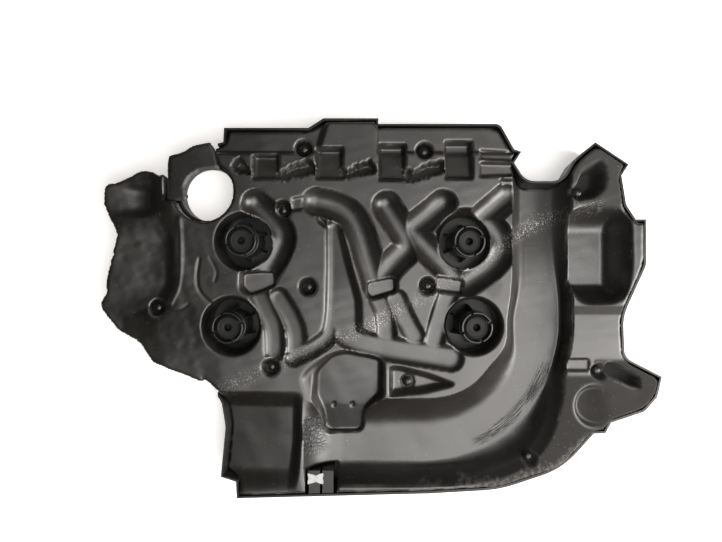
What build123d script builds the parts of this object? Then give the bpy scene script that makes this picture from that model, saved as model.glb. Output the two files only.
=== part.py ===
from build123d import *
import math
import os

# Engine cover lying on its show face, so the foam-lined underside looks up (+Z). All sizes in mm.

# Shell: moulded tray
wall = 3.0
floor = 3.0
rim_height = 46.0
lobe_rim_height = 24.0
draft = 7.0
edge_height = 6.0
edge_slope = 25.0
post_side = 8.0
post_height = 12.0

# Foam pad bonded into the tray
foam_gap = 3.0
foam_corner = 25.0
foam_top = 50.0
strip_drop = 4.0
lobe_drop = 8.0
seat_gap = 0.3
pocket_slope = 14.0
lobe_slope = 45.0
cut_over = 12.0

# Oil filler opening
filler_radius = 35.0
filler_wall = 3.0
filler_at = (-223.0, 147.0)

# Pipe trough that crosses the foam from the rear notch to the front
trough_floor = 16.0
trough_half = 25.0
trough_inner_run = 15.0
trough_outer_run = 4.0
trough_front_run = 27.0
trough_bend = 156.0
trough_x = 209.0
trough_y = -173.0
trough_rear = 230.0
trough_end = -108.0
trough_fillet = 10.0
trough_front_angle = 25.0

# Round grooves for the injector lines, and the flat groove of the rail
line_radius = 17.0
line_depth = 15.0
rail_depth = 12.0
pad_depth = 13.0

# Holder towers and rubber grommets for the ball studs
holder_at = [(-171.0, 84.0), (-187.0, -22.0), (107.0, 83.0), (116.0, -22.0)]
well_radius = 33.0
holder_radius = 19.2
holder_wall = 2.8
holder_top = 72.0
rib_reach = 25.0
rib_foot = 8.0
seat_depth = 22.0
rib_count = 6
rib_thickness = 2.6
rib_height = 50.0
slot_count = 4
slot_width = 3.2
slot_depth = 14.0
slot_turn = 20.0
grommet_fit = 0.2
grommet_sink = 1.5
socket_radius = 4.6
socket_depth = 13.0

# Push pins that hold the foam down
pin_at = [(-97, 201), (55, 198), (-123, 124), (-91, 27), (59, 28), (-138, -74), (34, -93),
          (-282, 1), (250, 146), (274, -79), (187, -188)]
pin_side = 5.0
pin_head = 6.6
pin_hole = 8.6
pin_pocket = 11.0
pin_sink = 13.0

# Rear row of clip recesses
clip_pitch = 80.0
clip_first = -145.0
clip_width = 32.0
clip_length = 34.0
clip_mid_y = 181.0
clip_depth = 20.0
clip_slope = 9.0
tear_depth = 26.0
tear_slope = 6.0

# Scrap of tape on the two small ribs by the front rim
tab_width = 14.0
tab_gap = 3.0
tab_length = 34.0
tab_drop = 2.0
tab_room = 2.0
tab_mid = (-75.0, -222.0)
tape_thickness = 0.6
tape_width = 20.0
tape_depth = 14.0

# Rim of the shell in plan, clockwise from the rear left corner; a third value rounds that corner
rim_plan = [(-197, 227), (-91, 227), (-72, 239), (-3, 239), (-3, 232), (150, 232, 10), (168, 200), (177, 197),
            (168, 183), (182, 160, 26), (228, 160, 36), (243, 187, 10), (270, 209), (312, 181), (303, 167),
            (309, 130, 14), (321, 112), (334, 112), (334, 54, 16), (305, -10, 60), (307, -62, 16), (354, -86),
            (348, -112, 12), (332, -130, 12), (290, -144), (283, -157), (268, -158), (228, -202, 120),
            (150, -228, 160), (62, -233), (-181, -239), (-182, -218), (-201, -212), (-195, -149, 40),
            (-200, -118, 20), (-214, -99, 10), (-281, -63, 14), (-298, -37, 14), (-325, -24, 12), (-345, 4),
            (-340, 38), (-327, 94, 16), (-344, 142), (-333, 152), (-303, 167), (-264, 162), (-263, 186),
            (-236, 200), (-198, 209)]

# Free edge of the foam on the left lobe, and the foam collar round the filler opening
lobe_plan = [(-222, -93), (-286, -68), (-303, -43), (-330, -29), (-354, 0), (-354, 7), (-347, 20), (-347, 38),
             (-334, 94, 16), (-350, 128), (-351, 150), (-346, 158), (-335, 158), (-303, 174), (-288, 173),
             (-280, 167), (-271, 169), (-271, 136), (-215, 100)]
collar_plan = [(-271, 170), (-270, 193), (-250, 199), (-238, 207), (-215, 211), (-208, 198), (-203, 179),
               (-232, 177), (-247, 167), (-252, 158), (-247, 137), (-272, 137)]

# Part of the shell's rim that stays low, under the left lobe
low_rim_plan = [(-405, -113), (-405, 217), (-205, 217), (-205, -113)]

# Recesses of the foam in plan; the list of recesses gives the depth and the slope of the walls
rail_plan = [(-67, 102), (-67, -27), (-118, -58), (-112, -69), (-92, -71), (-68, -56), (-40, -54), (0, -62),
             (95, -69), (102, -60), (86, -51), (-8, -43), (-25, -28), (-25, 11), (-44, 102), (-56, 109)]
block_plan = [(-72, -74), (6, -77), (5, -118), (-11, -128), (-80, -128), (-88, -92)]
tongue_plan = [(-78, -120), (-18, -120), (-16, -154), (-24, -163), (-65, -163), (-74, -155)]
leaf_plan = [(12, -75), (62, -81), (99, -96), (49, -109), (16, -112)]
bay_plan = [(-225, -118), (-99, -118), (-98, -170), (-107, -226), (-225, -226)]
right_bowl_plan = [(244, 120), (302, 150), (316, 117), (318, 58), (304, 14), (274, 4), (250, 12)]
left_bowl_plan = [(-328, 90), (-312, 110), (-286, 116), (-264, 102), (-256, 73), (-257, 32), (-272, 10),
                  (-334, 28)]
side_slot_plan = [(284, -69), (292, -70), (324, -88), (318, -100), (308, -97), (284, -80)]
strip_plan = [(-230, 197), (146, 197), (160, 260), (-230, 260)]
lobe_low_plan = [(-380, -120), (-380, 190), (-275, 190), (-262, 120), (-250, 100), (-250, 30), (-264, 6),
                 (-290, -120)]
fork_left_plan = [(-163, 14), (-144, -21), (-146, -56), (-138, -62), (-123, -58), (-123, -25), (-117, -19),
                  (-110, -55), (-98, -55), (-86, -37), (-101, -4), (-126, 26)]
fork_right_plan = [(-18, 8), (18, 14), (54, -24), (54, -45), (33, -44), (29, -17), (14, -7), (2, -42),
                   (-18, -32)]
fork_last_plan = [(72, 20), (97, 16), (86, -10), (78, -50), (56, -50), (62, -8)]
line_paths = [[(-155, 131), (-122, 86), (-148, 44)], [(-77, 132), (-36, 119), (-7, 32)],
              [(4, 129), (42, 80), (4, 33)], [(79, 133), (43, 100), (93, 40)],
              [(160, 143), (131, 115), (153, 76), (109, 32)]]
pads = [(-151, 32, 12), (2, 23, 12), (88, 28, -12)]
pad_size = (38.0, 24.0)
tears = [[(-130, 171), (-112, 179), (-88, 188), (-84, 169), (-98, 165), (-120, 160)],
         [(-49, 177), (-31, 173), (-10, 187), (-5, 170), (-28, 165), (-45, 160)],
         [(30, 175), (49, 176), (79, 185), (80, 170), (60, 167), (38, 158)]]
recesses = [(block_plan, 24, 24), (tongue_plan, 40, 8), (leaf_plan, 14, 20), (right_bowl_plan, 34, 12),
            (left_bowl_plan, 20, 30), (side_slot_plan, 20, 8), (bay_plan, 16, 35)]
disc_at = (269.0, -122.0)
disc_radius = 27.0
disc_depth = 9.0


def outline(plan):
    """Face inside a closed plan; a corner's third value rounds it, as far as its edges leave room."""
    spots, radii = [Vector(*corner[:2]) for corner in plan], []
    for i, corner in enumerate(plan):
        back, ahead = spots[i - 1] - spots[i], spots[(i + 1) % len(spots)] - spots[i]
        half_turn = math.radians(180 - back.get_angle(ahead)) / 2
        room = 0.45 * min(back.length, ahead.length) / math.tan(half_turn)
        radii.append(min(corner[2], room) if len(corner) > 2 else 0)
    return make_face(FilletPolyline(*spots, radius=radii, close=True))


def inset(plan, distance):
    """Plan with every corner moved inwards by a distance along its bisector."""
    spots = [Vector(*corner[:2]) for corner in plan]
    turning = sum(a.cross(b).Z for a, b in zip(spots[-1:] + spots[:-1], spots))
    inner = Vector(0, 0, math.copysign(distance, -turning))
    moved = []
    for i, here in enumerate(spots):
        back, ahead = (here - spots[i - 1]).normalized(), (spots[(i + 1) % len(spots)] - here).normalized()
        there = here + (back + ahead).normalized().cross(inner)
        moved.append((there.X, there.Y, *plan[i][2:]))
    return moved


def drafted(plan, top, bottom, slope):
    """Body below a plan at height top that narrows by the slope down to height bottom."""
    low = inset(plan, (top - bottom) * math.tan(math.radians(slope)))
    return loft([Pos(0, 0, bottom) * outline(low), Pos(0, 0, top) * outline(plan)], ruled=True)


def tray():
    """Outside of the shell: drafted sides, then a bevelled edge down to the show face."""
    low = inset(rim_plan, (rim_height - edge_height) * math.tan(math.radians(draft)))
    base = inset(low, edge_height * math.tan(math.radians(edge_slope)))
    levels = [(base, 0), (low, edge_height), (rim_plan, rim_height)]
    return loft([Pos(0, 0, z) * outline(level) for level, z in levels], ruled=True)


def pocket(plan, bottom, slope=None):
    """Cutter for a recess of the foam: sloped walls to its floor, open upwards."""
    slope = pocket_slope if slope is None else slope
    above = extrude(Pos(0, 0, foam_top) * outline(plan), amount=cut_over)
    return drafted(plan, foam_top, bottom, slope) + above


def oblong(x, y, width, length, turn=0):
    """Plan of a turned rectangle about a place."""
    corners = [Vector(i * width / 2, j * length / 2).rotate(Axis.Z, turn) for i, j in
               ((-1, -1), (-1, 1), (1, 1), (1, -1))]
    return [(x + c.X, y + c.Y) for c in corners]


def capsule(points, half):
    """Plan of a strip of a half width along a few points, with half-round ends of short chords."""
    spots = [Vector(x, y) for x, y in points]
    ways = [(q - p).normalized() for p, q in zip(spots, spots[1:])]
    plan = [spots[-1] + (ways[-1] * half).rotate(Axis.Z, turn) for turn in (-90, -54, -18, 18, 54, 90)]
    bends = []
    for spot, first, second in zip(spots[1:-1], ways, ways[1:]):
        across = (first + second).normalized().rotate(Axis.Z, 90)
        bends.append((spot, across * (half / across.dot(first.rotate(Axis.Z, 90)))))
    plan += [spot + mitre for spot, mitre in bends[::-1]]
    plan += [spots[0] - (ways[0] * half).rotate(Axis.Z, turn) for turn in (-90, -54, -18, 18, 54, 90)]
    plan += [spot - mitre for spot, mitre in bends]
    return [(corner.X, corner.Y) for corner in plan]


def groove(points):
    """Cutter for a round line: strips that narrow with depth along a circle's arc."""
    levels = [(0, 1.0), (0.6, 0.8), (1.0, 0.35)]
    sections = [Pos(0, 0, foam_top - line_depth * deep) * outline(capsule(points, line_radius * wide))
                for deep, wide in levels]
    above = extrude(sections[0], amount=cut_over)
    return loft(sections[::-1], ruled=True) + above


def trough(first_angle, outer_run):
    """Cutter for the pipe trough: a sloped channel swept along the rear run, the bend and the front run."""
    centre = Vector(trough_x - trough_bend, trough_y + trough_bend)
    bend = CenterArc(centre, trough_bend, -first_angle, first_angle - 90)
    end = Line(bend @ 1, (trough_end, trough_y))
    path = bend + end if first_angle else Line((trough_x, trough_rear), bend @ 0) + bend + end
    rise = foam_top + cut_over - trough_floor
    steep = rise / (foam_top - trough_floor)
    side = [(-trough_half - trough_inner_run * steep, rise), (-trough_half, 0), (trough_half, 0),
            (trough_half + outer_run * steep, rise)]
    wire = Wire(path.edges())
    start = Plane(origin=wire @ 0 + Vector(0, 0, trough_floor), x_dir=(wire % 0).cross(Vector(0, 0, 1)) * -1,
                  z_dir=wire % 0)
    return sweep(start * make_face(FilletPolyline(*side, radius=[0, trough_fillet, 0, 0], close=True)),
                 path=Pos(0, 0, trough_floor) * wire)


def cover_shell():
    """Moulded tray with drafted walls, a low rim under the left lobe, the filler tube, bosses and ribs."""
    body = tray() - drafted(inset(rim_plan, wall), rim_height, floor, draft)
    body -= extrude(Pos(0, 0, lobe_rim_height) * outline(low_rim_plan), rim_height)
    x, y = filler_at
    body += Pos(x, y, floor / 2) * extrude(Circle(filler_radius + filler_wall), lobe_rim_height - floor / 2)
    body -= Pos(x, y, -1) * extrude(Circle(filler_radius), rim_height)
    for x, y in pin_at:
        body += Pos(x, y, floor / 2) * extrude(Rectangle(post_side, post_side), post_height + floor / 2)
    x, y = tab_mid
    for side in (-1, 1):
        rib = Pos(x + side * (tab_width + tab_gap) / 2, y) * Rectangle(tab_width, tab_length)
        body += extrude(Pos(0, 0, floor / 2) * rib, rim_height - floor / 2 - tab_drop) & tray()
    return body


def clip_recesses():
    """Cutters for the rear row: four clip recesses and the torn slots between them."""
    cutters = [pocket(plan, foam_top - tear_depth, tear_slope) for plan in tears]
    for i in range(4):
        plan = oblong(clip_first + i * clip_pitch, clip_mid_y, clip_width, clip_length)
        cutters.append(pocket(plan, foam_top - clip_depth, clip_slope))
    return cutters


def line_recesses():
    """Cutters for the injector lines, the flat pads where they meet, the rail and the forked lines."""
    cutters = [groove(points) for points in line_paths]
    for x, y, turn in pads:
        cutters.append(pocket(oblong(x, y, *pad_size, turn), foam_top - pad_depth))
    for plan in (rail_plan, fork_left_plan, fork_right_plan, fork_last_plan):
        cutters.append(pocket(plan, foam_top - rail_depth))
    return cutters


def foam_pad():
    """Moulded foam: the block inside the tray and the overhanging lobe, less every recess."""
    plan = inset([corner if corner[-1] > foam_corner else corner[:2] for corner in rim_plan], wall + foam_gap)
    body = drafted(plan, rim_height, floor, draft)
    body += extrude(Pos(0, 0, rim_height) * outline(plan), foam_top - rim_height)
    lobe_seat = lobe_rim_height + seat_gap
    body += extrude(Pos(0, 0, lobe_seat) * outline(lobe_plan), foam_top - lobe_seat)
    cutters = clip_recesses() + line_recesses() + [pocket(strip_plan, foam_top - strip_drop)]
    cutters.append(pocket(lobe_low_plan, foam_top - lobe_drop, lobe_slope))
    cutters += [trough(0, trough_outer_run), trough(trough_front_angle, trough_front_run)]
    cutters += [pocket(plan, foam_top - depth, slope) for plan, depth, slope in recesses]
    disc = extrude(RegularPolygon(disc_radius, 16), disc_depth + cut_over)
    cutters.append(Pos(*disc_at, foam_top - disc_depth) * disc)
    for x, y in holder_at:
        cutters.append(Pos(x, y) * extrude(RegularPolygon(well_radius, 24), foam_top + cut_over))
    x, y = filler_at
    cutters.append(Pos(x, y) * extrude(Circle(filler_radius + filler_wall + seat_gap), foam_top + cut_over))
    cutters.append(extrude(outline(inset(collar_plan, -2 * seat_gap)), foam_top + cut_over))
    for x, y in pin_at:
        cutters.append(Pos(x, y) * extrude(Rectangle(pin_hole, pin_hole), foam_top))
        head_room = extrude(RegularPolygon(pin_pocket, 8), pin_sink + cut_over)
        cutters.append(Pos(x, y, foam_top - pin_sink) * head_room)
    x, y = tab_mid
    ribs_room = Rectangle(2 * (tab_width + tab_room) + tab_gap, tab_length + 2 * tab_room)
    cutters.append(Pos(x, y) * extrude(ribs_room, foam_top + cut_over))
    return body - cutters


def filler_collar():
    """Torn foam strip on the upper left of the filler opening, resting on the filler tube and the low rim."""
    return extrude(Pos(0, 0, lobe_rim_height) * outline(collar_plan), foam_top - lobe_drop - lobe_rim_height)


def grommet_holder():
    """Ribbed tower with a cup on top, whose slots leave spring fingers round the grommet."""
    inner, rib_root = holder_radius - holder_wall, holder_radius - holder_wall / 2
    body = Pos(0, 0, floor) * extrude(Circle(holder_radius), holder_top - floor)
    body -= Pos(0, 0, holder_top - seat_depth) * extrude(Circle(inner), seat_depth)
    rib_end = floor + rib_height
    side = Polyline((rib_root, floor), (rib_reach, floor), (rib_reach, floor + rib_foot),
                    (holder_radius, rib_end), (rib_root, rib_end), close=True)
    rib = extrude(Plane.XZ * make_face(side), amount=rib_thickness / 2, both=True)
    for i in range(rib_count):
        body += Rot(0, 0, 360 / rib_count * (i + 0.5)) * rib
    slot = Pos(holder_radius, 0, holder_top - slot_depth) * Box(
        4 * holder_wall, slot_width, slot_depth, align=(Align.CENTER, Align.CENTER, Align.MIN))
    for i in range(slot_count):
        body -= Rot(0, 0, 360 / slot_count * i + slot_turn) * slot
    return body


def rubber_grommet():
    """Rubber plug in the cup, with a socket for the ball stud."""
    low, top = holder_top - seat_depth, holder_top - grommet_sink
    body = Pos(0, 0, low) * extrude(RegularPolygon(holder_radius - holder_wall - grommet_fit, 18), top - low)
    return body - Pos(0, 0, top - socket_depth) * extrude(Circle(socket_radius), socket_depth)


def foam_pin():
    """Push pin on one of the shell's posts, with a stepped dome head down on the foam."""
    base, seat = floor + post_height, foam_top - pin_sink
    pin = Pos(0, 0, base) * extrude(Rectangle(pin_side, pin_side), seat - base)
    for wide, high in ((1.0, 0.6), (0.65, 0.95)):
        pin += Pos(0, 0, seat) * extrude(RegularPolygon(wide * pin_head, 8), high * pin_head)
    return pin


def at_each(places, piece):
    """Copies of one piece, a separate solid at each place."""
    return Compound([(Pos(x, y) * piece).solid() for x, y in places])


def tape_scrap():
    """Pinched scrap of tape lying on the two ribs."""
    x, y = tab_mid
    w, d = tape_width / 2, tape_depth
    bow = Polyline((-w, 0), (0, d * 0.2), (w, 0), (w * 0.9, d), (0, d * 0.75), (-w, d * 0.9), close=True)
    return extrude(Pos(x - tab_width / 2, y, rim_height - tab_drop) * make_face(bow), tape_thickness)


def build():
    """Every node by name."""
    return {"cover_shell": cover_shell(), "foam_pad": foam_pad(), "filler_collar": filler_collar(),
            "grommet_holders": at_each(holder_at, grommet_holder()), "foam_pins": at_each(pin_at, foam_pin()),
            "rubber_grommets": at_each(holder_at, rubber_grommet()), "tape_scrap": tape_scrap()}


os.makedirs("parts", exist_ok=True)
for name, shape in build().items():
    export_step(shape, f"parts/{name}.step")
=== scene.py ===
import bpy
import numpy as np
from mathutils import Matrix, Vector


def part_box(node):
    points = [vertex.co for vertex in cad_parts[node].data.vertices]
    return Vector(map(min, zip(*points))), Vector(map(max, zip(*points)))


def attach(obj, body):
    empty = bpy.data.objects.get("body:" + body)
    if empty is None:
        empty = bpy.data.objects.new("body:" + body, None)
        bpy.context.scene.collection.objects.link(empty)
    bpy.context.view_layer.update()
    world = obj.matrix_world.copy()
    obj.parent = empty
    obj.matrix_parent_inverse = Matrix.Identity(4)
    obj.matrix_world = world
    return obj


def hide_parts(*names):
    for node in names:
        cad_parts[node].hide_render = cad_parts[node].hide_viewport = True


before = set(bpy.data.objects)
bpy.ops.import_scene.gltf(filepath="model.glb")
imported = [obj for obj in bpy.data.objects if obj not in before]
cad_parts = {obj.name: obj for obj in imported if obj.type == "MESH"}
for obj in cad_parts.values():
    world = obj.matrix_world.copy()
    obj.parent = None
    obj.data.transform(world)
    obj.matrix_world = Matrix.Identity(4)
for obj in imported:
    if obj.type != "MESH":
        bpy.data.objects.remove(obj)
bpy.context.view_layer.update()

# Shell
# The cover itself is a tray of black nylon, moulded in one shot and lying on its show face. Its rim shows as
# a thin line round the foam, and its filler tube and low posts stand up through it.
grain_size, patch_size, scuff_size = 0.0011, 0.06, 0.004
scuff_grey = 0.13
spark_height = 0.0001
shell_black, shell_pale = 0.007, 0.012


def add_node(tree, kind, inputs=None, **settings):
    """Node with its settings, and with each input set to a value or linked from another node's socket."""
    node = tree.nodes.new("ShaderNode" + kind)
    for name, value in settings.items():
        setattr(node, name, value)
    for name, value in (inputs or {}).items():
        if isinstance(value, bpy.types.NodeSocket):
            tree.links.new(value, node.inputs[name])
        else:
            node.inputs[name].default_value = value
    return node


def noise(tree, place, size, detail=3.0, rough=0.55, stretch=(1, 1, 1), turn=0.0):
    """Noise from 0 to 1 whose features are about a size in metres, stretched along turned axes."""
    spot = add_node(tree, "Mapping", {"Vector": place, "Scale": stretch, "Rotation": (0, 0, turn)})
    inputs = {"Vector": spot.outputs[0], "Scale": 1 / size, "Detail": detail, "Roughness": rough}
    return add_node(tree, "TexNoise", inputs).outputs["Fac"]


def ramp(tree, value, low, high, to_low=0.0, to_high=1.0):
    """Value carried smoothly from one range to another, and held at its ends."""
    inputs = {"Value": value, "From Min": low, "From Max": high, "To Min": to_low, "To Max": to_high}
    return add_node(tree, "MapRange", inputs, interpolation_type="SMOOTHSTEP").outputs["Result"]


def blend(tree, mask, first, second):
    """Colour between two colours by a mask, on the Mix node's colour sockets."""
    factor, colour_a, colour_b, colour_out = 0, 6, 7, 2
    inputs = {factor: mask, colour_a: first, colour_b: second}
    return add_node(tree, "Mix", inputs, data_type="RGBA").outputs[colour_out]


def calc(tree, operation, first, second):
    """Sum, difference or other arithmetic of two values."""
    return add_node(tree, "Math", {0: first, 1: second}, operation=operation).outputs[0]


def times(tree, first, second):
    """Product of two values."""
    return calc(tree, "MULTIPLY", first, second)


def grey(value):
    """Neutral colour of one brightness."""
    return (value, value, value, 1)


def handling_marks():
    """Group of three masks that all the finishes share: fine grain, broad patches, and thin scuffs."""
    group = bpy.data.node_groups.new("handling_marks", "ShaderNodeTree")
    for name in ("Grain", "Patches", "Scuffs"):
        group.interface.new_socket(name, in_out="OUTPUT", socket_type="NodeSocketFloat")
    result = group.nodes.new("NodeGroupOutput")
    place = add_node(group, "TexCoord").outputs["Object"]
    scuff = noise(group, place, scuff_size, stretch=(1, 0.06, 1), turn=0.9)
    patch = noise(group, place, patch_size, 4)
    group.links.new(noise(group, place, grain_size, 2), result.inputs["Grain"])
    group.links.new(ramp(group, patch, 0.36, 0.66), result.inputs["Patches"])
    group.links.new(times(group, ramp(group, scuff, 0.66, 0.74), patch), result.inputs["Scuffs"])
    return group


marks = handling_marks()


def finish(name, roughness):
    """Material with one shader and the shared marks: itself, its tree, the shader and the marks' sockets."""
    material = bpy.data.materials.new(name)
    material.use_nodes = True
    tree = material.node_tree
    shader = tree.nodes["Principled BSDF"]
    shader.inputs["Roughness"].default_value = roughness
    use = tree.nodes.new("ShaderNodeGroup")
    use.node_tree = marks
    return material, tree, shader, use.outputs


def relief(tree, shader, height, distance, strength):
    """Bump on the shader's normal: a height from 0 to 1 that stands for a distance in metres."""
    bump = add_node(tree, "Bump", {"Height": height, "Distance": distance, "Strength": strength})
    tree.links.new(bump.outputs[0], shader.inputs["Normal"])


def nylon(name, dark, pale, smooth, rough):
    """Moulded nylon: two close blacks in patches, a fine spark texture and a gloss that varies in patches."""
    material, tree, shader, mark = finish(name, smooth)
    colour = blend(tree, mark["Patches"], grey(dark), grey(pale))
    tree.links.new(blend(tree, mark["Scuffs"], colour, grey(scuff_grey)), shader.inputs["Base Color"])
    tree.links.new(ramp(tree, mark["Patches"], 0, 1, smooth, rough), shader.inputs["Roughness"])
    relief(tree, shader, mark["Grain"], spark_height, 0.5)
    return material


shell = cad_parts["cover_shell"]
shell.data.materials.clear()
shell.data.materials.append(nylon("shell_nylon", shell_black, shell_pale, smooth=0.4, rough=0.52))

# Foam pad
# The sound pad is polyurethane foam, moulded to clear the top of the engine: each line, rail and pipe has its
# recess. It lies in the tray under the pins, hangs over the low rim on the left, and is torn at the rear.
mm = 0.001
foam_top, foam_floor = 50.0, 4.5
pitch = 1.6
grid_x = np.arange(-357, 357.5, pitch)
grid_y = np.arange(-240, 240.5, pitch)
x, y = np.meshgrid(grid_x, grid_y)
everywhere = np.s_[:, :]


def rounded(plan, radius, steps=5):
    """Closed plan with each corner replaced by a parabola's arc that leaves its sides at about the radius, or
    just short of the middle of a short side."""
    most = 0.48
    here = np.array(plan, float)
    back, ahead = np.roll(here, 1, 0) - here, np.roll(here, -1, 0) - here
    long_back, long_ahead = np.linalg.norm(back, axis=1), np.linalg.norm(ahead, axis=1)
    cut = np.minimum(radius, most * np.minimum(long_back, long_ahead))
    first, last = here + back * (cut / long_back)[:, None], here + ahead * (cut / long_ahead)[:, None]
    t = np.linspace(0, 1, steps)[None, :, None]
    arcs = (1 - t) ** 2 * first[:, None] + 2 * t * (1 - t) * here[:, None] + t ** 2 * last[:, None]
    return arcs.reshape(-1, 2)


def path_distance(path, px, py, closed=False):
    """Distance from each point to the nearest run of a path; inside a closed plan it is negative."""
    far, tiny = 1e6, 1e-9
    path = np.array(path, float)
    ends = np.roll(path, -1, 0) if closed else path[1:]
    nearest, inside = np.full(px.shape, far), np.zeros(px.shape, bool)
    for (ax, ay), (bx, by) in zip(path, ends):
        dx, dy = bx - ax, by - ay
        along = np.clip(((px - ax) * dx + (py - ay) * dy) / (dx * dx + dy * dy + tiny), 0, 1)
        nearest = np.minimum(nearest, np.hypot(px - ax - along * dx, py - ay - along * dy))
        crossed = (ay > py) != (by > py)
        inside ^= crossed & (px < ax + (py - ay) * dx / (dy if dy else tiny))
    return np.where(inside, -nearest, nearest) if closed else nearest


def spot_distance(spot, part=everywhere):
    """Distance from one spot over a part of the grid."""
    return np.hypot(x[part] - spot[0], y[part] - spot[1])


def smooth_path(path, rounds=3):
    """Open path with its corners cut off again and again, which leaves a smooth curve between its ends."""
    path = np.array(path, float)
    for _ in range(rounds):
        cuts = np.stack([0.75 * path[:-1] + 0.25 * path[1:], 0.25 * path[:-1] + 0.75 * path[1:]], 1)
        path = np.concatenate([path[:1], cuts.reshape(-1, 2)[1:-1], path[-1:]])
    return path


def eased(t):
    """S-curve from 0 to 1."""
    t = np.clip(t, 0, 1)
    return t * t * (3 - 2 * t)


def sloped(t):
    """Straight slope from 0 to 1 with its two ends a little rounded."""
    return 0.6 * np.clip(t, 0, 1) + 0.4 * eased(t)


def between(value, low, rise, high, fall):
    """Mask that climbs from 0 at low over a rise, and comes down to 0 at high over a fall."""
    return eased((value - low) / rise) * eased((high - value) / fall)


def wobble(size, seed, waves=14):
    """Smooth random field of about -1 to 1: waves of about one length in random directions, added up."""
    dice = np.random.default_rng(seed)
    turn, shift = dice.uniform(0, 2 * np.pi, (2, waves))
    rate = 2 * np.pi / (size * dice.uniform(0.6, 1.7, waves))
    parts = [np.sin(k * (x * np.cos(a) + y * np.sin(a)) + p) for k, a, p in zip(rate, turn, shift)]
    return sum(parts) / np.sqrt(waves)


def near(points, margin):
    """Rows and columns of the grid that lie within a margin of some points."""
    low, high = np.min(points, 0) - margin, np.max(points, 0) + margin
    rows, columns = np.searchsorted(grid_y, (low[1], high[1])), np.searchsorted(grid_x, (low[0], high[0]))
    return slice(*rows), slice(*columns)


sunk = np.zeros_like(x)
torn = np.zeros_like(x)
ragged_edge = wobble(9, 3) + 0.7 * wobble(4, 4)


def sink(depth, share, part=everywhere):
    """Lowers a part of the grid to a share of a depth, a number or a field, where it isn't lower yet."""
    deep = np.broadcast_to(depth, x.shape)[part]
    sunk[part] = np.maximum(sunk[part], deep * share)


def press(plan, depth, wall, corner=6.0, ragged=0.0):
    """Sinks a recess: its depth from a wall's width inside the plan, up an S-shaped wall. The foam is torn
    round a ragged plan, which wavers by about that many millimetres."""
    lip, fringe, margin = 0.6, 4.0, 12.0
    plan = rounded(plan, corner)
    part = near(plan, margin)
    inside = -path_distance(plan, x[part], y[part], closed=True) + ragged * ragged_edge[part]
    sink(depth, eased((inside + lip) / (wall + lip)), part)
    if ragged:
        torn[part] = np.maximum(torn[part], eased((inside + fringe) / fringe))


def press_line(path, radius, depth, power=2):
    """Sinks a groove along a smooth path: nearly a circle's arc in section, flatter with a higher power."""
    margin, arc_power = 2.0, 0.62
    path = smooth_path(path)
    part = near(path, radius + margin)
    gap = path_distance(path, x[part], y[part]) / radius
    sink(depth, np.clip(1 - gap ** power, 0, 1) ** arc_power, part)


def press_dish(middle, half, depth, power=2):
    """Sinks an oval dish: its depth times an S-curve of the oval's radius, squarer with a higher power."""
    part = near([middle], 1.2 * max(half))
    across, along = np.abs((x[part] - middle[0]) / half[0]), np.abs((y[part] - middle[1]) / half[1])
    sink(depth, eased(1 - (across ** power + along ** power) ** (2 / power)), part)


# Injector lines, from the injectors' heads by the rear row down to the clamp pads
line_radius, line_depth = 18.0, 15.0
line_paths = [[(-157, 131), (-138, 113), (-122, 92), (-132, 66), (-147, 42)],
              [(-81, 133), (-57, 129), (-35, 116), (-24, 92), (-15, 61), (-6, 32)],
              [(7, 129), (20, 108), (38, 78), (19, 61), (2, 40)],
              [(78, 131), (54, 111), (38, 99), (52, 82), (72, 62), (94, 38)],
              [(161, 142), (135, 120), (126, 111), (148, 93), (153, 72), (138, 52), (108, 32)]]
for path in line_paths:
    press_line(path, line_radius, line_depth)

# Clamp pads at the lines' lower ends, each a little deeper on its right
pad_depth, pad_tilt = 18.0, 0.1
pads = [[(-176, 46), (-134, 48), (-132, 28), (-152, 19), (-167, 15), (-177, 25)],
        [(-18, 33), (14, 40), (20, 38), (21, 20), (-12, 10), (-18, 16)],
        [(70, 42), (108, 36), (105, 16), (70, 20)]]
for plan in pads:
    press(plan, pad_depth + pad_tilt * (x - np.mean(plan, 0)[0]), wall=2, corner=5)

# Short lines that fork from the pads to the rail
fork_radius, fork_depth = 13.0, 6.0
fork_paths = [[(-153, 18), (-141, -8), (-133, -27), (-133, -54)],
              [(-128, 13), (-112, -12), (-105, -33), (-106, -56)],
              [(-3, 13), (6, -7), (7, -36)],
              [(20, 11), (31, -14), (43, -36)],
              [(86, 20), (75, -8), (67, -42)]]
for path in fork_paths:
    press_line(path, fork_radius, fork_depth, power=4)

# Rail: one long bed, a field on its right that rises a little at the rear right, and two arms at the front
rail_radius, arm_radius, arm_depth = 11.0, 16.0, 7.0
rail_depth = arm_depth - 0.08 * np.clip(x + 60, 0, 30) * eased((y + 10) / 60)
rail_field = [(-67, 104), (-56, 111), (-46, 103), (-36, 58), (-23, 11), (-22, -27), (-11, -37), (-45, -46),
              (-68, -29)]
press(rail_field, rail_depth, wall=10)
press_line([(-58, 100), (-58, -28), (-78, -47), (-110, -62)], rail_radius, rail_depth, power=3)
press_line([(-46, -30), (-26, -44), (24, -53), (88, -63)], arm_radius, arm_depth, power=4)

# Small cuts beside the second line's head
press([(-112, 138), (-95, 142), (-94, 124), (-112, 121)], 3, wall=2, corner=2)
press([(-86, 122), (-67, 110), (-65, 97), (-79, 108)], 6, wall=3, corner=3)

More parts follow.
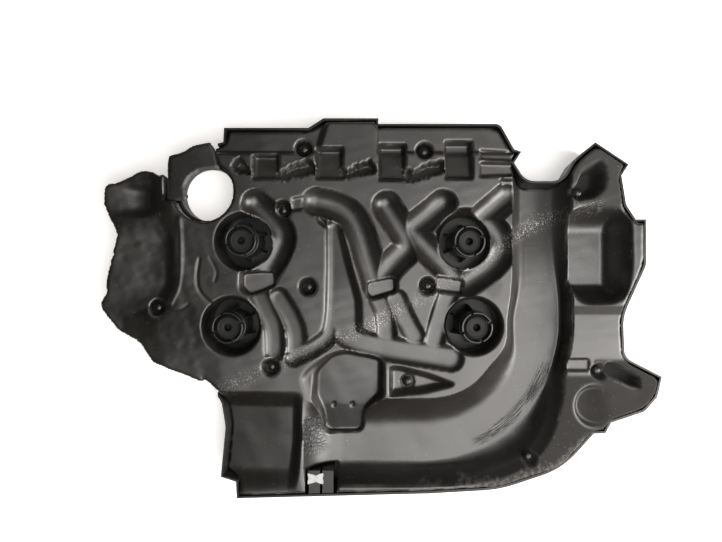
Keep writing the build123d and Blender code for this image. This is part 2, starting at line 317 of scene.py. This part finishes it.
# Block pocket, whose floor falls to the front and steps down into a tongue behind two drops, with a shallow
# dip on its left and a leaf-shaped pocket on its right
block_plan = [(-86, -78), (-64, -56), (-43, -51), (-11, -57), (5, -62), (5, -112), (-8, -126), (-15, -134),
              (-16, -160), (-25, -169), (-68, -169), (-77, -160), (-79, -134), (-88, -114)]
block_fall, tongue_fall = np.clip((-56 - y) / 70, 0, 1), np.clip((-126 - y) / 37, 0, 1)
press(block_plan, 15 + 14.5 * block_fall + 12 * tongue_fall, wall=7, corner=8)
for drop_x in (-60, -36):
    press_dish((drop_x, -127), (4, 7), 34)
press([(-104, -84), (-84, -66), (-64, -54), (-50, -60), (-56, -122), (-90, -126)], 4, wall=9, corner=14)
press([(9, -72), (24, -71), (62, -81), (94, -93), (89, -99), (55, -107), (9, -112)], 11, wall=9)

# Rear row: recesses for the injectors' plugs that rise to the front, tears between them, and steps at its end
clips = [((-161, -127), (161, 194)), ((-82, -47), (161, 202)),
         ((-3, 32), (159, 207)), ((80, 116), (161, 211))]
row_depth = 4 + 10 * np.clip((y - 158) / 42, 0, 1)
for (left, right), (low, high) in clips:
    press([(left, low), (left, high), (right, high), (right, low)], row_depth, wall=4, corner=2)
tears = [[(-131, 171), (-120, 173), (-112, 179), (-93, 186), (-85, 182), (-82, 169), (-98, 166), (-120, 161),
          (-130, 159)],
         [(-50, 178), (-40, 173), (-32, 179), (-11, 186), (-5, 171), (-28, 166), (-50, 161)],
         [(29, 176), (40, 172), (58, 182), (79, 186), (80, 171), (65, 166), (38, 158), (29, 158)],
         [(-186, 184), (-176, 188), (-168, 178), (-161, 170), (-168, 167), (-182, 172)]]
tear_depth = 4 + 12 * eased((y - 160) / 22)
for plan in tears:
    press(plan, tear_depth, wall=2, corner=2, ragged=1.1)
press([(124, 200), (172, 197), (168, 184), (124, 186)], 4, wall=2, corner=2)
press([(124, 184), (168, 183), (176, 166), (124, 164)], 7, wall=3, corner=2)
press([(148, 162), (173, 162), (170, 148), (156, 146)], 7, wall=2, corner=3)

# Bowls, dishes and slot on the two lobes, and beside the third well
right_bowl = [(234, 120), (246, 127), (279, 138), (304, 150), (319, 115), (323, 56), (312, 14), (291, 2),
              (262, 0), (247, 8), (235, 30)]
rear_bowl = [(243, 152), (252, 175), (276, 188), (286, 173), (284, 150), (268, 137), (252, 134), (245, 143)]
press(right_bowl, 32 * between(y, 0, 30, 146, 50) * eased((321 - x) / 34), wall=11, corner=10)
press(rear_bowl, 36, wall=11)
sink(7, between(x, -356, 80, -252, 24) * between(y, -12, 42, 114, 34))
press_dish((-315, 136), (34, 23), 3 + 6 * eased((x + 335) / 40), power=4)
press_dish((107, 96), (40, 32), 26)
press([(282, -67), (292, -67), (326, -86), (326, -100), (313, -99), (282, -85)], 24, wall=4, corner=3)
press([(232, -62), (262, -62), (262, -79), (232, -79)], 3, wall=3, corner=4)

# Tilted disc on the right lobe, sunk on its left side only
disc_spot, disc_radius, disc_depth = (269.0, -122.0), 27.0, 8.0
disc_gap = disc_radius - spot_distance(disc_spot)
disc_side = 1 - eased((x - disc_spot[0] + 16) / 36)
sink(disc_depth, disc_side * eased(disc_gap / 5))


def wall_curve(distance, foot, lip):
    """From 1 at the foot of a wall down to 0 at its lip, along a parabola."""
    return 1 - np.clip((distance - foot) / (lip - foot), 0, 1) ** 2


# Pipe trough from the rear notch round to the bay: across is measured outwards from the middle of its floor
trough_x, trough_y, trough_depth, trough_rear = 209.0, -173.0, 34.0, 175.0
bend_radius = 156.0
bend_x, bend_y = trough_x - bend_radius, trough_y + bend_radius
on_bend = spot_distance((bend_x, bend_y)) - bend_radius
across = np.where(y > bend_y, x - trough_x, np.where(x > bend_x, on_bend, trough_y - y))
turned = np.degrees(np.arctan2(np.maximum(bend_y - y, 0), np.maximum(x - bend_x, 1e-6)))
in_bend, in_front = eased((turned - 8) / 30), eased((turned - 50) / 38)
widened = np.exp(-((y + 20) / 34) ** 2) * (x > bend_x)
inner_lip = -44 - 12 * in_bend - 4 * in_front - 6 * widened
inner_foot = -22 + 8 * in_bend - 9 * widened
outer_foot = 27 - 13 * eased((y + 10) / 110)
outer_lip = 31 + 37 * sloped((turned - 16) / 34) - 18 * in_front
bed = wall_curve(across, inner_foot, inner_lip) * wall_curve(across, outer_foot, outer_lip)
sink(trough_depth, bed * wall_curve(x, -46, -98) * (y < trough_rear))

# Bay at the front left corner: a shallow panel with walls on its right and rear that rises to the front rim
bay_right = -97 - 0.12 * np.maximum(-165 - y, 0)
bay_depth = 13 + 7 * np.clip((-98 - x) / 95, 0, 1)
sink(bay_depth, eased((bay_right - x) / 14) * between(y, -232, 30, -102, 26))

# Pins' pockets
pin_spots = np.array([(-97, 201), (55, 198), (-123, 124), (-91, 27), (59, 28), (-138, -74), (34, -93),
                      (-282, 1), (250, 146), (274, -79), (187, -188)], float)
pocket_radius, pocket_wall, pocket_depth = 11.5, 3.0, 13.0
for spot in pin_spots:
    part = near([spot], pocket_radius + pocket_wall)
    sink(pocket_depth, eased((pocket_radius - spot_distance(spot, part)) / pocket_wall), part)

# Plates: the left lobe lies lower, and so does the rear strip but for the field where the rim steps out. No
# plate is flat, and the left lobe is dented.
lobe_drop, strip_drop, strip_front = 8.0, 4.0, 193.0
tray_rim = [(-197, 227), (-91, 227), (-72, 239), (-3, 239), (-3, 232), (150, 232), (168, 200), (177, 197),
            (168, 183), (182, 160), (228, 160), (243, 187), (270, 209), (312, 181), (303, 167), (309, 130),
            (321, 112), (334, 112), (334, 54), (305, -10), (307, -62), (354, -86), (348, -112), (332, -130),
            (290, -144), (283, -157), (268, -158), (228, -202), (150, -228), (62, -233), (-181, -239),
            (-182, -218), (-201, -212), (-195, -149), (-200, -118), (-214, -99), (-281, -63), (-298, -37),
            (-325, -24), (-345, 4), (-340, 38), (-327, 94), (-344, 142), (-333, 152), (-303, 167),
            (-264, 162), (-263, 186), (-236, 200), (-198, 209)]
lobe_plan = [(-222, -93), (-286, -68), (-303, -43), (-330, -29), (-354, 0), (-354, 7), (-347, 20), (-347, 38),
             (-334, 94), (-350, 128), (-351, 150), (-346, 158), (-335, 158), (-303, 174), (-288, 173),
             (-280, 167), (-271, 169), (-271, 136), (-215, 100)]
lobe_low = [(-380, -120), (-380, 190), (-275, 190), (-262, 120), (-250, 100), (-250, 30), (-264, 6),
            (-290, -120)]
lobe_step = 26 + 70 * eased((10 - y) / 40)
into_lobe = -path_distance(rounded(lobe_low, 8), x, y, closed=True)
level = foam_top - lobe_drop * eased(into_lobe / lobe_step + 0.1)
raised = eased((x + 85 - 0.3 * (y - strip_front)) / 9) * eased((-2 - x) / 3)
on_strip = (1 - raised) * eased((y - strip_front) / 4) * (x < 165) * (x > -245)
level = np.minimum(level, foam_top - strip_drop * on_strip)
level += 0.25 * wobble(90, 1) + 0.07 * wobble(20, 2)
level += eased((-190 - x) / 50) * (0.22 * wobble(26, 31) + 0.07 * wobble(11, 32))

# Marks of the mould and of handling, each with its path, half width and height: a bead along the lobe's lip,
# a seam in the trough's floor with a turn at its end, and three creases
skin_marks = [([(-252, 112), (-250, 73), (-252, 29), (-264, 6)], 5, 1.8),
              ([(190.5, 22), (190.5, 78)], 1.6, 0.5),
              ([(190.5, 78), (206, 78)], 1.6, 0.6),
              ([(-227, 62), (-231, 40), (-228, 20), (-206, 0)], 2.6, -1.8),
              ([(-214, 64), (-204, 46), (-208, 34)], 2.2, -0.8),
              ([(-268, 0), (-252, -3), (-240, 6)], 2.2, -0.8)]
for path, reach, height in skin_marks:
    path = smooth_path(path)
    part = near(path, reach + 2)
    level[part] += height * eased(1 - path_distance(path, x[part], y[part]) / reach)

# Edges: the pad stops short of the tray's rim, hangs over on the lobe, and opens at the wells, at the filler,
# round the collar and at the two ribs by the front rim
rim_room = 5.3
in_tray = path_distance(rounded(tray_rim, 12), x, y, closed=True) + rim_room
in_lobe = path_distance(rounded(lobe_plan, 5), x, y, closed=True) + 0.4 * np.abs(ragged_edge)
well_spots = np.array([(-171, 84), (-187, -22), (107, 83), (116, -22)], float)
well_radius, well_bevel, well_drop = 33.0, 5.0, 9.0
filler_spot, filler_radius = (-223, 147), 38.3
collar_plan = [(-271, 170), (-270, 193), (-250, 199), (-238, 207), (-215, 211), (-208, 198), (-203, 176),
               (-229, 173), (-242, 164), (-247, 155), (-244, 135), (-272, 136)]
collar_room = 0.8
ribs_x, ribs_half, ribs_rear = -75, 20, -203
openings = [filler_radius - spot_distance(filler_spot),
            collar_room - path_distance(collar_plan, x, y, closed=True),
            np.minimum(ribs_half - np.abs(x - ribs_x), ribs_rear - y)]
for spot in well_spots:
    gap = spot_distance(spot)
    sink(well_drop, eased((well_radius + well_bevel - gap) / well_bevel))
    openings.append(well_radius - gap)
edge = np.maximum(np.minimum(in_tray, in_lobe), np.max(openings, 0))


def softened(field, rounds):
    """Field averaged with its neighbours, which rounds every lip and crease a little."""
    for _ in range(rounds):
        wide = np.pad(field, 1, mode="edge")
        field = (wide[:-2, 1:-1] + wide[2:, 1:-1] + wide[1:-1, :-2] + wide[1:-1, 2:] + 4 * field) / 8
    return field


edge_round, edge_fall = 3.0, 2.8
past_round = np.clip(edge_round + edge, 0, edge_round)
shoulder = edge_round - np.sqrt(np.clip(edge_round ** 2 - past_round ** 2, 0, None))
crumbs = torn * (0.35 * wobble(3.2, 7) + 0.3 * wobble(6, 8))
relief_top = softened(np.maximum(level - sunk, foam_floor), 1)
top = relief_top - np.minimum(shoulder, edge_fall) + crumbs


def surface(name, points, quads, sharp):
    """Object at the origin from points in millimetres and four-cornered faces, shaded smooth but for edges
    that are sharper than an angle in degrees. It rides on the part's root."""
    mesh = bpy.data.meshes.new(name)
    mesh.vertices.add(len(points))
    mesh.vertices.foreach_set("co", (np.asarray(points) * mm).ravel())
    mesh.loops.add(quads.size)
    mesh.loops.foreach_set("vertex_index", quads.ravel())
    mesh.polygons.add(len(quads))
    mesh.polygons.foreach_set("loop_start", np.arange(0, quads.size, 4))
    mesh.update(calc_edges=True)
    mesh.shade_smooth()
    mesh.set_sharp_from_angle(angle=np.radians(sharp))
    piece = bpy.data.objects.new(name, mesh)
    bpy.context.collection.objects.link(piece)
    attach(piece, "root")
    return piece


def grid_faces(grid):
    """Four values at the corners of each cell of a grid, in turn: faces, where the values number points."""
    return np.stack([grid[:-1, :-1], grid[:-1, 1:], grid[1:, 1:], grid[1:, :-1]], -1)


def trimmed_pad(name, edge, top, foot, reach, undercut):
    """Pad with a trimmed outline: the grid's cells inside it, with the points next to it moved onto it, then
    a side down to the foot's height, set in by an undercut, and a strip under it inwards by a reach. Returns
    the object and its grid indices."""
    snap, sliver, sharp = 0.75 * pitch, 0.3 * pitch, 62
    slope_y, slope_x = np.gradient(edge, pitch)
    steep = np.hypot(slope_x, slope_y) + 1e-6
    at_edge = np.abs(edge) < snap
    move_x, move_y = slope_x / steep, slope_y / steep
    px, py = np.where(at_edge, x - edge * move_x, x), np.where(at_edge, y - edge * move_y, y)
    corners = grid_faces(edge)
    kept = (corners.max(-1) < snap) & (corners.min(-1) < -sliver)
    cells = grid_faces(np.arange(x.size).reshape(x.shape))
    full = np.pad(kept, 1)
    sides = [(full[:-2, 1:-1], 0, 1), (full[1:-1, 2:], 1, 2), (full[2:, 1:-1], 2, 3), (full[1:-1, :-2], 3, 0)]
    rims = np.concatenate([cells[kept & ~beyond][:, [a, b]] for beyond, a, b in sides])
    used, faces = np.unique(cells[kept], return_inverse=True)
    rim_used, rims_low = np.unique(rims, return_inverse=True)
    rims_low, rims_top = rims_low.reshape(-1, 2), np.searchsorted(used, rims)
    under = np.minimum(foot, top - 1)
    upper = np.stack([px, py, top], -1).reshape(-1, 3)[used]
    low, inner = (np.stack([px - inset * move_x, py - inset * move_y, under], -1).reshape(-1, 3)[rim_used]
                  for inset in (undercut, reach))
    rims_first = rims_low + len(upper)
    rims_second = rims_first + len(low)
    side = np.column_stack([rims_top[:, ::-1], rims_first])
    below = np.column_stack([rims_first[:, ::-1], rims_second])
    quads = np.concatenate([faces.reshape(-1, 4), side, below])
    piece = surface(name, np.concatenate([upper, low, inner]), quads, sharp)
    return piece, np.concatenate([used, rim_used, rim_used])


tray_foot, lobe_foot = 5.0, 24.6
foot = np.where(in_tray < 0.5, tray_foot, lobe_foot)
foam, foam_spots = trimmed_pad("foam_pad_skin", edge, top, foot, reach=12.0, undercut=1.8)

# Where the skin differs: a band of pale specks that is thickest at two spots, a painted highlight on the
# lips, a worn strip along the front rim, fields with less gloss, folds in the trough's bend, cracks at its
# end, and crumbs by a well
speck_line = [(-195, -97), (-63, -46), (24, -2), (112, 48), (199, 111), (274, 129)]
thick_spots = [((-8, -18), 46), ((186, 96), 36)]
thick = sum(np.exp(-spot_distance(spot) ** 2 / reach ** 2) for spot, reach in thick_spots)
specks = eased((15 - path_distance(smooth_path(speck_line), x, y)) / 13)
specks *= 0.45 + 0.55 * np.minimum(thick, 1)
# Painted highlight: the convex lips of the relief, where light catches, are marked here for a lighter colour
# in the foam's material.
painted_lip_highlight = eased((relief_top - softened(relief_top, 2) - 0.12) / 0.5) * eased((-edge - 4) / 4)
worn_reach = 8 + 2.5 * wobble(40, 21) + 2.5 * wobble(9, 22) + 1.5 * wobble(4, 23)
front_rim = eased((worn_reach + edge) / 2) * eased((x - 20) / 60) * eased((-150 - y) / 20)
disc_ring = disc_side * eased(2 - np.abs(disc_gap - 2) / 3)
right_lobe = 1.3 * eased((across - outer_lip + 14) / 8) * eased((x - 90) / 60)
right_lobe *= eased((-60 - 20 * eased((268 - x) / 6) - y) / 8) * (1 - 0.8 * disc_ring)
rear_lobe = eased((x - 236) / 10) * eased((y - 124) / 12)
rear_run = 0.85 * between(x, 165, 6, 240, 6) * eased((y - 10) / 90)
rear_run *= 1 - 0.7 * eased((y - 85) / 30) * eased((212 - x) / 20)
bowl_front = eased((x - 236) / 8) * between(y, -10, 4, 5, 3)
crumbly = 0.8 * eased((17 - np.hypot((x - 142) / 0.8, y - 26)) / 8)
foam_masks = {"torn": np.maximum(torn, crumbly), "specks": specks, "painted_lip_highlight": painted_lip_highlight,
              "worn": front_rim * (0.6 + 0.4 * wobble(6, 24)),
              "dull": np.max([right_lobe, rear_lobe, rear_run, bowl_front], 0),
              "creased": eased((11 - np.abs(across - 19)) / 9) * between(turned, 14, 14, 70, 10),
              "cracked": between(x, -98, 4, -66, 10) * between(y, -188, 10, -136, 6)}
bend_place = np.stack([across, bend_radius * np.radians(turned), np.zeros_like(x)], -1) * mm


def carry(piece, name, field, spots):
    """Stores a field of the grid, of one or three values a point, on the piece's points, for its material."""
    kind, key = ("FLOAT", "value") if field.ndim == 2 else ("FLOAT_VECTOR", "vector")
    layer = piece.data.attributes.new(name, kind, "POINT")
    layer.data.foreach_set(key, np.asarray(field.reshape(x.size, -1)[spots], np.float32).ravel())


for name, field in foam_masks.items():
    carry(foam, name, field, foam_spots)
carry(foam, "bend_place", bend_place, foam_spots)

foam_dark, foam_pale = (0.0095, 0.0081, 0.0068, 1), (0.015, 0.013, 0.0112, 1)
# The first of these colours is a painted highlight for the lips; the other two are wear and scuffs.
painted_highlight_colour, worn_skin, scuffed_skin = (0.12, 0.114, 0.105, 1), (0.1, 0.094, 0.088, 1), (0.09, 0.086, 0.08, 1)
dust_white, crack_black = (0.5, 0.49, 0.47, 1), grey(0.003)
fold_size, crack_size, cell_size = 0.0022, 0.005, 0.0024
highlight_break_size, speck_size, dust_size = 0.02, 0.0014, 0.0021


def foam_skin():
    """Moulded foam skin: dark brown-grey with a painted highlight on its lips, dust, cracked skin, and open
    cells where torn.
    """
    material, tree, shader, mark = finish("foam_skin", 0.4)
    shader.inputs["Specular IOR Level"].default_value = 0.9
    place = add_node(tree, "TexCoord").outputs["Object"]
    masks = {name: add_node(tree, "Attribute", attribute_name=name).outputs["Fac"] for name in foam_masks}
    bend = add_node(tree, "Attribute", attribute_name="bend_place").outputs["Vector"]
    folds = ramp(tree, noise(tree, bend, fold_size, 2, 0.6, (1, 0.05, 1)), 0.38, 0.66)
    spread = add_node(tree, "Mapping", {"Vector": place, "Scale": (0.42, 1, 1), "Rotation": (0, 0, 0.1)})
    inputs = {"Vector": spread.outputs[0], "Scale": 1 / crack_size}
    net = add_node(tree, "TexVoronoi", inputs, feature="DISTANCE_TO_EDGE").outputs["Distance"]
    splits = times(tree, ramp(tree, net, 0.03, 0.13, 1.0, 0.0), masks["cracked"])
    # Painted highlight: the lips get a lighter colour, broken up by noise.
    painted_highlight_streaks = times(tree, masks["painted_lip_highlight"], ramp(tree, noise(tree, place, highlight_break_size), 0.42, 0.62, 0.06, 0.6))
    speck = times(tree, ramp(tree, noise(tree, place, speck_size, 1), 0.61, 0.66), masks["specks"])
    dust = ramp(tree, noise(tree, place, dust_size, 1), 0.74, 0.79, 0.0, 0.3)
    colour = blend(tree, mark["Patches"], foam_dark, foam_pale)
    colour = blend(tree, painted_highlight_streaks, colour, painted_highlight_colour)
    colour = blend(tree, times(tree, masks["worn"], 0.8), colour, worn_skin)
    colour = blend(tree, splits, colour, crack_black)
    colour = blend(tree, calc(tree, "MAXIMUM", speck, dust), colour, dust_white)
    colour = blend(tree, times(tree, mark["Scuffs"], 0.4), colour, scuffed_skin)
    tree.links.new(colour, shader.inputs["Base Color"])
    gloss = ramp(tree, mark["Patches"], 0, 1, 0.33, 0.38)
    gloss = calc(tree, "ADD", gloss, times(tree, masks["torn"], 0.15))
    gloss = calc(tree, "ADD", gloss, times(tree, masks["dull"], 0.5))
    tree.links.new(gloss, shader.inputs["Roughness"])
    cells = times(tree, noise(tree, place, cell_size, 3, 0.7), masks["torn"])
    height = calc(tree, "ADD", times(tree, mark["Grain"], 0.12), times(tree, cells, 0.5))
    cracks = calc(tree, "SUBTRACT", times(tree, folds, masks["creased"]), times(tree, splits, 0.6))
    relief(tree, shader, calc(tree, "ADD", height, cracks), 0.0012, 0.6)
    return material


foam_finish = foam_skin()
foam.data.materials.append(foam_finish)
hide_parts("foam_pad")

# Filler collar
# A strip of the same foam, torn off the pad, still lies on the filler tube and the low rim at the upper left
# of the opening. It is flat, with rounded and slightly ragged edges.
collar_top, collar_most, collar_foot = 41.2, 41.9, 24.2
collar_edge = path_distance(rounded(collar_plan, 4), x, y, closed=True) + 0.5 * np.abs(ragged_edge) + 0.3
collar_rim = eased((collar_edge + 4) / 4)
collar_skin = np.minimum(collar_top - 2.0 * collar_rim + 0.25 * wobble(40, 11), collar_most)
collar, collar_spots = trimmed_pad("filler_collar_foam", collar_edge, collar_skin,
                                   np.full(x.shape, collar_foot), reach=10.0, undercut=7.0)
for name in foam_masks:
    carry(collar, name, collar_rim if name == "torn" else np.zeros_like(x), collar_spots)
collar.data.materials.append(foam_finish)
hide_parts("filler_collar")

# Grommet holders
# Four black nylon towers carry the cups. Each is a tube with six ribs down to the shell's floor, and its cup
# is slotted into spring fingers with a rounded bead on top.
tower_foot = 3.2


def carried_round(section, angles, closed):
    """Closed section of radius and height carried round the axis through some angles, and on to the first of
    them where the turn is closed: points and faces."""
    section, angles = np.array(section, float), np.radians(angles)
    radius, height = section[:, 0], section[:, 1]
    points = np.stack([np.outer(np.cos(angles), radius), np.outer(np.sin(angles), radius),
                       np.broadcast_to(height, (len(angles), len(section)))], -1)
    index = np.arange(points[..., 0].size).reshape(len(angles), len(section))
    if closed:
        index = np.concatenate([index, index[:1]])
    index = np.concatenate([index, index[:, :1]], 1)
    return points.reshape(-1, 3), grid_faces(index.T).reshape(-1, 4)


def gathered(parts):
    """Points and faces of several parts as one."""
    starts = np.cumsum([0] + [len(points) for points, _ in parts[:-1]])
    return (np.concatenate([points for points, _ in parts]),
            np.concatenate([quads + start for (_, quads), start in zip(parts, starts)]))


def at_each(spots, points, quads):
    """The same points and faces at each spot of a list."""
    moved = points[None] + np.column_stack([spots, np.zeros(len(spots))])[:, None]
    starts = len(points) * np.arange(len(spots))[:, None, None]
    return moved.reshape(-1, 3), (quads[None] + starts).reshape(-1, 4)


def beaded(inner, outer, low, high, bead):
    """Section of a wall between two radii and heights, with its corners rounded to a bead."""
    return rounded([(inner, low), (outer, low), (outer, high), (inner, high)], bead, 4)


def end_caps(rings, count):
    """Faces that close the two ends of a section carried through an arc: strips across the section."""
    there, back = np.arange(count // 2), np.arange(count)[::-1][:count // 2]
    strips = np.column_stack([there[:-1], there[1:], back[1:], back[:-1]])
    return np.concatenate([strips, strips[:, ::-1] + (rings - 1) * count])


def finger(start, stop):
    """One spring finger of the cup: the wall's section carried through part of a turn, with ends closed."""
    section = beaded(16.5, 19.2, 55, 72, 1.1)
    angles = np.linspace(start, stop, 15)
    points, quads = carried_round(section, angles, closed=False)
    return points, np.concatenate([quads, end_caps(len(angles), len(section))])


def rib(turn):
    """One rib: a six-cornered section carried up from the tower's foot, drawn in towards the tube above a
    short straight run, with its ends closed."""
    foot_reach, drawn_in, straight, tall = 25.0, 6.0, 0.15, 50
    t = np.linspace(0, 1, 9)[:, None]
    reach = np.where(t < straight, foot_reach, foot_reach - drawn_in * (t - straight) / (1 - straight))
    height = tower_foot + tall * t
    aside = np.array([-1.3, -1.3, -0.8, 0.8, 1.3, 1.3])[None]
    out = np.array([-8.0, -0.6, 0.0, 0.0, -0.6, -8.0])[None] + reach
    a = np.radians(turn)
    points = np.stack([out * np.cos(a) - aside * np.sin(a), out * np.sin(a) + aside * np.cos(a),
                       np.broadcast_to(height, out.shape)], -1)
    index = np.arange(out.size).reshape(out.shape)
    index = np.concatenate([index, index[:, :1]], 1)
    end = np.array([[0, 1, 4, 5], [1, 2, 3, 4]])
    quads = np.concatenate([grid_faces(index).reshape(-1, 4), end[:, ::-1], end + index[-1, 0]])
    return points.reshape(-1, 3), quads


full_turn = np.arange(0, 360, 6)
tube = carried_round(beaded(15.0, 18.6, tower_foot, 60, 0.8), full_turn, closed=True)
bead_ring = carried_round(beaded(18.4, 19.9, 56, 58.6, 0.7), full_turn, closed=True)
fingers = [finger(start, start + 80) for start in range(25, 385, 90)]
ribs = [rib(turn) for turn in range(30, 390, 60)]
tower = gathered([tube, bead_ring] + fingers + ribs)
holders = surface("grommet_holder_towers", *at_each(well_spots, *tower), sharp=40)
holders.data.materials.append(nylon("holder_nylon", dark=0.007, pale=0.012, smooth=0.3, rough=0.42))
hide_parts("grommet_holders")

# Rubber grommets
# A soft rubber plug is pressed into each cup and takes a ball stud. It is moulded with a flat face, a raised
# ring near the edge, and a socket in the middle.
grommet_profile = [(0.05, 57.8), (3.2, 57.9), (4.0, 58.8), (4.4, 60.5), (4.4, 67.2), (4.7, 68.0), (5.6, 68.3),
                   (11.0, 68.2), (11.5, 68.8), (12.3, 69.0), (12.9, 68.6), (13.4, 67.6), (15.6, 66.6),
                   (16.1, 66.0), (16.1, 50.4), (0.05, 50.3)]
rubber_black, rubber_bloom = 0.006, 0.011


def rubber():
    """Moulded rubber: matt dark grey with a paler bloom in patches."""
    material, tree, shader, mark = finish("grommet_rubber", 0.7)
    shader.inputs["Specular IOR Level"].default_value = 0.35
    colour = blend(tree, mark["Patches"], grey(rubber_black), grey(rubber_bloom))
    tree.links.new(colour, shader.inputs["Base Color"])
    tree.links.new(ramp(tree, mark["Patches"], 0, 1, 0.62, 0.78), shader.inputs["Roughness"])
    relief(tree, shader, mark["Grain"], spark_height, 0.4)
    return material


plug = carried_round(grommet_profile[::-1], full_turn, closed=True)
grommets = surface("rubber_grommet_plugs", *at_each(well_spots, *plug), sharp=50)
grommets.data.materials.append(rubber())
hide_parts("rubber_grommets")

# Push pins
# Eleven nylon pins are pushed through the foam into the shell's posts and hold it down. Each is moulded with
# a smooth dome head on a thin flange, which lies down in its pocket.
head_radius, head_foot, head_rise = 6.2, 38.2, 5.0
arc = np.radians(np.linspace(90, 0, 10))
dome = np.column_stack([head_radius * np.cos(arc) + 0.02, head_foot + head_rise * np.sin(arc)])
pin_profile = np.concatenate([dome, [(6.55, 38.0), (6.55, 37.2), (2.4, 37.1), (2.4, 15.2), (0.05, 15.1)]])
pin = carried_round(pin_profile[::-1], full_turn[::2], closed=True)
pins = surface("foam_pin_heads", *at_each(pin_spots, *pin), sharp=50)
pins.data.materials.append(nylon("pin_nylon", dark=0.008, pale=0.014, smooth=0.24, rough=0.34))
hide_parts("foam_pins")

# Tape scrap
# A scrap of white paper tape, drawn in at its waist, is still stuck to the two small ribs at the front rim.
# It is thin and a little wavy.
tape_thick, tape_wave = 0.1, 0.45
tape_low, tape_high = (np.array(corner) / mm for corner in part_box("tape_scrap"))
middle, half = (tape_low + tape_high) / 2, (tape_high - tape_low) / 2
u, v = np.meshgrid(np.linspace(-1, 1, 25), np.linspace(0, 1, 15))
waist = 0.55 + 0.45 * np.abs(u) ** 0.8
tape_x = middle[0] + half[0] * u * (0.96 + 0.04 * np.sin(9 * v))
tape_y = middle[1] + half[1] * (2 * v - 1) * waist * (1 - 0.05 * np.sin(7 * u))
tape_z = tape_low[2] + tape_thick + tape_wave * (0.5 + 0.5 * np.sin(6 * u + 4 * v) * np.sin(5 * v + 1))
tape_top = np.stack([tape_x, tape_y, tape_z], -1).reshape(-1, 3)
tape_index = np.arange(u.size).reshape(u.shape)
tape_quads = grid_faces(tape_index).reshape(-1, 4)
tape_rim = np.concatenate([tape_index[0, :-1], tape_index[:-1, -1],
                           tape_index[-1, :0:-1], tape_index[:0:-1, 0]])
tape_next = np.roll(tape_rim, -1)
tape_side = np.column_stack([tape_rim + u.size, tape_next + u.size, tape_next, tape_rim])
tape = surface("tape_scrap_white", np.concatenate([tape_top, tape_top - (0, 0, tape_thick)]),
               np.concatenate([tape_quads, tape_quads[:, ::-1] + u.size, tape_side]), sharp=50)
tape_white, tape_yellowed = (0.5, 0.5, 0.485, 1), (0.4, 0.39, 0.36, 1)


def paper_tape():
    """White tape: a little yellowed in patches, with faint creases."""
    material, tree, shader, mark = finish("white_tape", 0.6)
    tree.links.new(blend(tree, mark["Patches"], tape_white, tape_yellowed), shader.inputs["Base Color"])
    relief(tree, shader, mark["Patches"], 0.0004, 0.5)
    return material


tape.data.materials.append(paper_tape())
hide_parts("tape_scrap")

# Table, light and camera
# The cover lies on a white table under large soft lights from the right and above, and the camera looks
# straight down on it, as in the photograph.
table_half, table_gap = 15, 0.0004
table_corners = [(-table_half, -table_half, -table_gap), (table_half, -table_half, -table_gap),
                 (table_half, table_half, -table_gap), (-table_half, table_half, -table_gap)]
table_mesh = bpy.data.meshes.new("table")
table_mesh.from_pydata(table_corners, [], [(0, 1, 2, 3)])
table = bpy.data.objects.new("table", table_mesh)
bpy.context.collection.objects.link(table)
table_paint = bpy.data.materials.new("table_white")
table_paint.use_nodes = True
table_looks = {"Base Color": (0.9, 0.89, 0.88, 1), "Roughness": 0.8,
               "Emission Color": (1, 0.98, 0.96, 1), "Emission Strength": 0.5}
for socket, value in table_looks.items():
    table_paint.node_tree.nodes["Principled BSDF"].inputs[socket].default_value = value
table_mesh.materials.append(table_paint)


def soft_light(name, place, target, size, power):
    """Square soft light at a place, turned to a target."""
    lamp = bpy.data.lights.new(name, "AREA")
    lamp.shape, lamp.size, lamp.energy, lamp.color = "SQUARE", size, power, (1, 0.975, 0.945)
    light = bpy.data.objects.new(name, lamp)
    bpy.context.collection.objects.link(light)
    light.location = place
    way = np.array(target, float) - np.array(place, float)
    light.rotation_euler = (np.arctan2(np.hypot(way[0], way[1]), -way[2]), 0, np.arctan2(-way[0], way[1]))


soft_light("overhead", (0.5, -0.6, 1.5), (0.2, -0.2, 0), 1.5, 31)
soft_light("overhead_rear", (0.3, 0.45, 1.6), (0.1, 0.1, 0), 1.3, 5)
soft_light("window_right", (1.25, -0.25, 0.72), (0, 0, 0), 0.8, 24)
world = bpy.data.worlds.new("studio")
world.use_nodes = True
world.node_tree.nodes["Background"].inputs["Color"].default_value = (1, 1, 1, 1)
world.node_tree.nodes["Background"].inputs["Strength"].default_value = 0.02
bpy.context.scene.world = world
bpy.context.scene.view_settings.view_transform = "Standard"

camera_data = bpy.data.cameras.new("camera")
camera_data.sensor_fit, camera_data.sensor_width, camera_data.lens = "HORIZONTAL", 36, 27.2
camera_data.clip_start = 0.01
camera = bpy.data.objects.new("camera", camera_data)
camera.location = (-0.0247, 0.0469, 0.732)
bpy.context.collection.objects.link(camera)
bpy.context.scene.camera = camera
